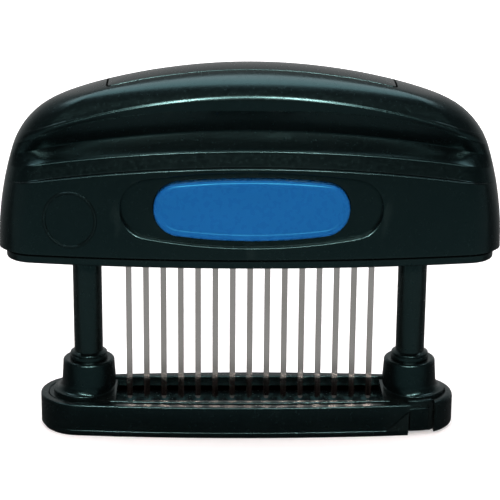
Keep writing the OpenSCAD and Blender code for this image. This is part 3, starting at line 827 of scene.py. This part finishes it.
def button(name, node, body, turn):
    """Oval release button with a soft outer edge, a raised rim and a dished face."""
    r = button_round
    profile = [(0.0, 4.5), (0.0, r - button_proud)]
    profile += [(r * (1 - cos(a)), r * (1 - sin(a)) - button_proud)
                for a in (radians(q) for q in (15, 30, 45, 60, 75))]
    profile += [(r + d, q - button_proud) for d, q in
                ((0.15, -0.02), (0.35, -0.03), (0.55, -0.03), (0.7, 0.0), (0.85, 0.06), (1.0, 0.11),
                 (1.3, 0.13), (2.2, 0.14), (3.2, 0.15))]
    rings = [[(x, -front_y(x) + d, button_mid + z)
              for x, z in oval(button_w, button_h, button_corner_r, s)] for s, d in profile]
    return finished(turn(loft(name, rings)), body, "button_blue", BLUE, node, angle=50)


# ---------------------------------------------------------------- knives

def knife_xs():
    return [(i - (knife_n - 1) / 2) * knife_pitch for i in range(knife_n)]


def knives():
    """Fifteen flat knives; the ground tips of every other one face the rear."""
    tip_z, head_z = knives_lo.z, knives_hi.z
    tip_h, tip_w, tip_t = 1.3, 0.8, 0.15
    verts, faces = [], []
    for k, x in enumerate(knife_xs()):
        turn = -1 if k % 2 else 1
        back = knife_t / 2
        start = len(verts)
        for half_w, y_front, z in ((tip_w / 2, back - tip_t, tip_z),
                                   (knife_w / 2, -back, tip_z + tip_h),
                                   (knife_w / 2, -back, head_z)):
            verts += [(x + turn * dx, turn * y, z) for dx, y in
                      ((-half_w, y_front), (half_w, y_front), (half_w, back), (-half_w, back))]
        for ring in (0, 4):
            faces += [tuple(start + ring + i for i in (a, (a + 1) % 4, (a + 1) % 4 + 4, a + 4))
                      for a in range(4)]
        faces += [tuple(start + i for i in (3, 2, 1, 0)), tuple(start + 8 + i for i in range(4))]
    obj = mesh_object("knife_row", verts, faces)
    rounded(obj, 0.07, 25)
    return finished(obj, "cartridge", "knife_steel", KNIFE, "knives")


# ---------------------------------------------------------------- posts and base

def post(side, name, node):
    r, z0, z1, edge = post_r, post_lo.z, post_hi.z, 0.5
    obj = lathe(name, [(0, z0), (r, z0), (r, z1 - edge), (r - edge, z1), (0, z1)], side * post_x, 0)
    return finished(obj, "base", "body_plastic", BLACK, node)


def collar(side, name, node):
    """Stepped collar: a round shoulder, a groove and a lip against the post."""
    r, z = collar_r, boss_top
    profile = [(post_r, z - 0.6), (r - 0.1, z - 0.6), (r - 0.1, z), (r, z + 0.15), (r, z + 1.05)]
    profile += [(r - 0.05, z + 1.2), (r - 0.22, z + 1.3), (r - 0.24, z + 1.4), (r - 0.12, z + 1.5)]
    profile += arc(r - 0.45, z + 1.7, 0.35, -10, 66, 5)
    profile += [(post_r + 0.3, z + 2.25), (post_r + 0.08, z + 2.45), (post_r, z + 2.5)]
    obj = tube(name, profile, side * post_x, 0)
    return finished(obj, "base", "body_plastic", BLACK, node)


def boss(side):
    """Tapered boss with a round top, in which a post stands; its foot is wider and further out."""
    r = foot_r - foot_round
    edge = boss_round
    profile = [(foot_r, 1, deck_z + 0.5)]
    profile += [(r + y, 1, foot_z - foot_round + z) for y, z in arc(0, 0, foot_round, 0, 80, 5)]
    profile += [(boss_r + (r - boss_r) * c, c, foot_z + 2.6 * q)
                for c, q in arc(1, 1, 1, 262, 180, 10)]
    profile += [(boss_top_r + 0.05, 0, boss_top - 2)]
    profile += [(y, 0, z) for y, z in arc(boss_top_r - edge, boss_top - edge, edge, 5, 85, 8)]
    return loft("boss", [circle(side * (post_x + foot_shift * share), 0, q, z, 96)
                         for q, share, z in profile])


def rail(side):
    """Rail beside the trough, its top edges round; the outer face follows the base's bow."""
    r, low, top = rail_r, deck_z + 0.2, rail_top - rail_r
    rings = []
    for i in range(33):
        x = rail_x * (1 - i / 16)
        bow_x = x + latch_short * (x > 0)
        outer = side * (base_y - base_bow_r + sqrt((base_bow_r - rail_inset) ** 2 - bow_x ** 2))
        inner = side * trough_y
        ring = [(x, inner, low), (x, outer, low)]
        ring += [(x, outer - side * (r - dy), z) for dy, z in arc(0, top, r, 0, 90, 5)]
        ring += [(x, inner + side * (r + dy), z) for dy, z in arc(0, top, r, 90, 180, 5)]
        rings.append(ring)
    return fan_loft("rail", rings)


def guide_deck():
    """Deck with a trough, recesses beside the rails, the knives' slots and room for the hinge."""
    edge = arc(deck_inset + deck_round, deck_top - deck_round, deck_round, 180, 90, 3)
    rings = [[(x, y, z) for x, y in base_plan(s)] for s, z in [(deck_inset, deck_z)] + edge]
    deck = loft("guide_deck_moulding", rings)
    cut(deck, block("trough", -trough_x, trough_x, -trough_y, trough_y, trough_z, far))
    for turn in (-1, 1):
        y0, y1 = sorted((turn * (trough_y - 1.3), turn * far))
        cut(deck, block("front_recess", -recess_end, recess_end, y0, y1, recess_z, far))
    w, d = slot_w / 2, slot_d / 2
    corners = ((1, 1), (-1, 1), (-1, -1), (1, -1))
    for x in knife_xs():
        rings = [[(x + sx * (w + s), sy * (d + s), z) for sx, sy in corners]
                 for s, z in ((0, 0), (0, trough_z - slot_lead), (slot_lead + 0.1, trough_z + 0.1))]
        cut(deck, fan_loft("slot", rings))
    cut(deck, drum("pin_room", knuckle_r + knuckle_play, 0, far, pin_x, pin_y))
    gathered(deck, rail(-1), rail(1), boss(-1), boss(1))
    return finished(deck, "base", "body_plastic", BLACK, "guide_deck")


def below_joint(s):
    """Everything under the slanting joint belongs to the lower plate."""
    x0, x1 = part_x0 - s * 1.4, part_x1
    outline = [(x0, -1), (x0, plate_step_z), (x1 - s, part_z1 + s), (x1 + s, part_z1 + s), (x1 + s, -1)]
    return prism_y("joint", outline, -far, far)


def band(name, s0, s1, z0, z1, low=0.0, high=0.0):
    """Ring-shaped wall of the base between two insets, its outer edges rounded by low and high."""
    chamfer = 0.3
    profile = [(s1, z0)]
    profile += arc(s0 + low, z0 + low, low, 270, 180, 5) if low else [(s0, z0)]
    profile += arc(s0 + high, z1 - high, high, 180, 90, 6) if high else [(s0, z1)]
    profile += [(s1 - chamfer, z1), (s1, z1 - chamfer)]
    return hoop(name, [[(x, y, z) for x, y in base_plan(s)] for s, z in profile])


def slab(name, x0, x1):
    """Block that reaches past the base in depth and height."""
    return block(name, x0, x1, -far, far, -far, far)


def ear(z0, z1):
    """Hinge ear with its bore and the arm that ties it to the end block."""
    eye = drum("ear", knuckle_r, z0, z1, pin_x, pin_y, 48)
    joined(eye, block("arm", pin_x - 3.2, pin_x, pin_y - 1.2, pin_y + 1.2, z0, z1))
    return cut(eye, drum("bore", pin_r, 0, far, pin_x, pin_y))


def base_skirt():
    """Rim of the base, with the end block, its hinge ears and a slanting sheet in the latch's gap that
    is there as painted shade.
    """
    ring = band("base_skirt_moulding", 0, skirt_t, plate_t, skirt_top, 0.3, 0.5)
    cut(ring, slab("beyond", part_x1 + latch_gap, far), below_joint(latch_gap))
    end = band("end", recess_d, skirt_t, end_z, end_line_z, 0.3, 0.2)
    step = band("step", recess_d + 0.4, skirt_t, end_line_z, end_top, 0, 0.4)
    left, right = part_x1 - 0.4, part_x1 + 0.6
    joint = [(left, -base_y), (right, -base_y), (right, -12.05), (left, -11.05)]
    for part in (end, step):
        cut(part, prism("joint", joint, -far, far))
        common(part, slab("part", part_x1 + latch_gap - 0.5, recess_x1))
        cut(part, block("latch_room", pin_x - knuckle_r - knuckle_play, far, 0, far, -far, far))
    lobes = [ear(end_z, knuckle_z0 - 0.2), ear(knuckle_z1 + 0.2, end_top)]
    # slanting sheet behind the latch's gap, put there only to make the gap dark: painted shade
    left, right = latch_face_x - 1.7, latch_face_x - 0.1
    slant = [(left, -11.3), (right, -9.7), (right, -7.5), (left, -7.5)]
    gap_shade_sheet = prism("gap_shade_sheet", slant, end_z, deck_top - 0.5)
    gathered(ring, end, step, gap_shade_sheet, *lobes)
    return finished(ring, "base", "body_plastic", BLACK, "base_skirt")


def lower_plate():
    """Stepped and slotted plate with an upstand whose top is the slanting joint."""
    edge = 0.3
    profile = [(plate_step, plate_lo.z), (plate_step, plate_step_z), (edge, plate_step_z)]
    profile += arc(edge, plate_step_z + edge, edge, 240, 180, 3)
    profile += arc(edge, plate_t - edge, edge, 180, 90, 4)
    plate = loft("lower_plate_moulding", [[(x, y, z) for x, y in base_plan(s)] for s, z in profile])
    cut(plate, slab("beyond", part_x1, far))
    w, d = slot_w / 2, slot_d / 2
    for x in knife_xs():
        cut(plate, block("slot", x - w, x + w, -d, d, -1, far))
    upstand = common(band("upstand", 0, skirt_t, plate_t - 0.4, far), below_joint(0))
    gathered(plate, cut(upstand, slab("beyond", part_x1, far)))
    return finished(plate, "plate", "body_plastic", BLACK, "lower_plate")


def base_latch():
    """Curved end piece with a rounded front edge, a step for the ears and a knuckle on the pin."""
    latch = band("base_latch_moulding", 0, skirt_t, latch_lo.z - latch_low, latch_hi.z, 0.9, 1.5)
    common(latch, slab("part", latch_x0, far))
    edge = [(-far, -7), (-far, -base_y), (latch_face_x + 2, -base_y)]
    edge += arc(latch_face_x + latch_round, -9.9, latch_round, 294, 180, 7) + [(latch_face_x, -7)]
    cut(latch, prism("notch", edge, -far, far))
    for z0, z1 in ((-far, knuckle_z0), (knuckle_z1, far)):
        cut(latch, block("step", -far, latch_step_x, 0, far, z0, z1))
    knuckle = drum("knuckle", knuckle_r, knuckle_z0, knuckle_z1, pin_x, pin_y, 48)
    joined(knuckle, block("web", pin_x, latch_step_x, pin_y - 0.9, pin_y + 1.1,
                          knuckle_z0, knuckle_z1))
    for piece in (latch, knuckle):
        cut(piece, drum("bore", pin_r + pin_play, 0, far, pin_x, pin_y))
    gathered(latch, knuckle)
    return finished(latch, "latch", "body_plastic", BLACK, "base_latch")


def cad_nodes():
    """Hidden and small nodes keep their CAD solids and get a finish with detail."""
    for part in frame["record"]["subparts"]:
        node = frame["nodes"][part["node"]]
        if node.hide_render:
            continue
        material = CAD_FINISHES[part["material_slot"]]
        for slot in node.material_slots:
            slot.material = material
        if not node.material_slots:
            node.data.materials.append(material)


# ---------------------------------------------------------------- studio

CAMERA_AZIMUTH = -1.38
CAMERA_ELEVATION = 17.46
CAMERA_ROLL = 0.48
CAMERA_DISTANCE = 560
CAMERA_TARGET = (-0.11, 0, 55.12)
FOCAL_PIXELS = 1865
PHOTO_PIXELS = 500
SENSOR = 36


def camera():
    data = bpy.data.cameras.new("camera")
    data.sensor_width = SENSOR
    data.lens = FOCAL_PIXELS / PHOTO_PIXELS * SENSOR
    data.clip_start = 0.05
    data.clip_end = 20
    obj = bpy.data.objects.new("camera", data)
    scene.collection.objects.link(obj)
    a, e, roll = (radians(q) for q in (CAMERA_AZIMUTH, CAMERA_ELEVATION, CAMERA_ROLL))
    back = Vector((sin(a) * cos(e), -cos(a) * cos(e), sin(e)))
    turn = (-back).to_track_quat("-Z", "Y").to_matrix().to_4x4()
    place = (Vector(CAMERA_TARGET) + back * CAMERA_DISTANCE) * MM
    obj.matrix_world = Matrix.Translation(place) @ turn @ Matrix.Rotation(roll, 4, "Z")
    scene.camera = obj


def softbox(name, azimuth, elevation, distance, width, height, radiance, colour):
    """Area light that faces the object; radiance is what a mirror would show of it."""
    data = bpy.data.lights.new(name, "AREA")
    data.shape = "RECTANGLE"
    data.size = width
    data.size_y = height
    data.energy = radiance * pi * width * height
    data.color = colour
    obj = bpy.data.objects.new(name, data)
    scene.collection.objects.link(obj)
    a, e = radians(azimuth), radians(elevation)
    back = Vector((sin(a) * cos(e), -cos(a) * cos(e), sin(e)))
    target = Vector((0, 0, 0.06))
    obj.location = target + back * distance
    obj.rotation_mode = "QUATERNION"
    obj.rotation_quaternion = (-back).to_track_quat("-Z", "Y")
    obj.visible_camera = False
    return obj


def seen_as_background(tree):
    """1 for camera, glossy and transmission rays."""
    path = add(tree, "ShaderNodeLightPath").outputs
    total = add(tree, "ShaderNodeMath", {0: path["Is Camera Ray"], 1: path["Is Glossy Ray"]},
                operation="MAXIMUM").outputs[0]
    return add(tree, "ShaderNodeMath", {0: total, 1: path["Is Transmission Ray"]},
               operation="MAXIMUM").outputs[0]


def studio_world():
    """White backdrop; reflections see it behind the object and a grey room in front."""
    world = bpy.data.worlds.new("studio")
    scene.world = world
    world.use_nodes = True
    tree = world.node_tree
    tree.nodes.clear()
    path = add(tree, "ShaderNodeLightPath").outputs
    direction = add(tree, "ShaderNodeTexCoord").outputs["Generated"]
    parts = add(tree, "ShaderNodeSeparateXYZ", {"Vector": direction}).outputs
    behind = between(tree, parts["Y"], 0.07, 0.46, 0.25, 0.8)
    camera_or_behind = add(tree, "ShaderNodeMath", {0: path["Is Camera Ray"], 1: behind},
                           operation="MAXIMUM").outputs[0]
    strength = add(tree, "ShaderNodeMix", {"Factor": seen_as_background(tree), "A": 0.35,
                                           "B": camera_or_behind}).outputs[0]
    light = add(tree, "ShaderNodeBackground", {"Color": (1, 1, 1, 1), "Strength": strength})
    add(tree, "ShaderNodeOutputWorld", {"Surface": light.outputs[0]})


def studio_floor():
    """Pale floor, white to the camera; reflections see it glow with painted light in front of and
    behind the object, and with a painted shadow just in front of it.
    """
    size = 6.0
    mesh = bpy.data.meshes.new("floor")
    corners = [(-size, -size), (size, -size), (size, size), (-size, size)]
    mesh.from_pydata([(x, y, 0) for x, y in corners], [], [(0, 1, 2, 3)])
    floor = bpy.data.objects.new("floor", mesh)
    scene.collection.objects.link(floor)
    material, tree = node_tree("studio_floor")
    path = add(tree, "ShaderNodeLightPath").outputs
    place = add(tree, "ShaderNodeTexCoord").outputs["Object"]
    parts = add(tree, "ShaderNodeSeparateXYZ", {"Vector": place}).outputs
    away = add(tree, "ShaderNodeVectorMath", {0: place}, operation="LENGTH").outputs["Value"]
    lift = between(tree, away, 0.38, 1.0, 0.1, 0.5)
    lift_seen = add(tree, "ShaderNodeMath", {0: lift, 1: path["Is Camera Ray"]},
                    operation="MULTIPLY").outputs[0]
    diffuse = add(tree, "ShaderNodeBsdfDiffuse", {"Color": (0.8, 0.8, 0.8, 1)})
    glow = add(tree, "ShaderNodeEmission", {"Color": (1, 1, 1, 1), "Strength": lift_seen})
    lit = add(tree, "ShaderNodeAddShader", {0: diffuse.outputs[0], 1: glow.outputs[0]})
    # for reflections only the floor glows with painted light: a pool of light in front, a painted
    # shadow of the object just before it and light behind it
    front = between(tree, parts["Y"], 0.08, 0.33, -0.42, -0.27)
    painted_shadow = between(tree, parts["Y"], 1.0, 0.12, -0.055, -0.028)
    painted_light_in_front = add(tree, "ShaderNodeMath", {0: front, 1: painted_shadow}, operation="MULTIPLY").outputs[0]
    behind = between(tree, parts["Y"], 0.0, 0.36, -0.02, 0.3)
    painted_floor_light = add(tree, "ShaderNodeMath", {0: painted_light_in_front, 1: behind}, operation="ADD").outputs[0]
    painted_floor_reflection = add(tree, "ShaderNodeEmission", {"Strength": painted_floor_light})
    shown = add(tree, "ShaderNodeMixShader", {0: path["Is Glossy Ray"], 1: lit.outputs[0],
                                              2: painted_floor_reflection.outputs[0]})
    output(tree, shown.outputs[0])
    mesh.materials.append(material)


def studio():
    studio_world()
    studio_floor()
    softbox("overhead", 180, 80, 0.8, 1.2, 0.5, 4.9, (1.0, 0.93, 0.97))
    softbox("strip", 0, 30, 0.9, 1.1, 0.09, 19, (1.0, 0.84, 0.80))
    for azimuth in (-13, 11):
        key = softbox("key", azimuth, 30, 0.9, 0.11, 0.08, 300, (1.0, 0.68, 0.62))
        key.visible_diffuse = False


# ---------------------------------------------------------------- build

camera()
studio()
handle_shell()
ring_mark()
cartridge_cap()
handle_floor()
button("front_button_moulding", "front_button", "front_release", same)
button("rear_button_moulding", "rear_button", "rear_release", turned)
knives()
post(-1, "left_post_tube", "left_post")
post(1, "right_post_tube", "right_post")
collar(-1, "left_collar_ring", "left_collar")
collar(1, "right_collar_ring", "right_collar")
guide_deck()
base_skirt()
lower_plate()
base_latch()
cad_nodes()

scene.view_settings.view_transform = "Standard"
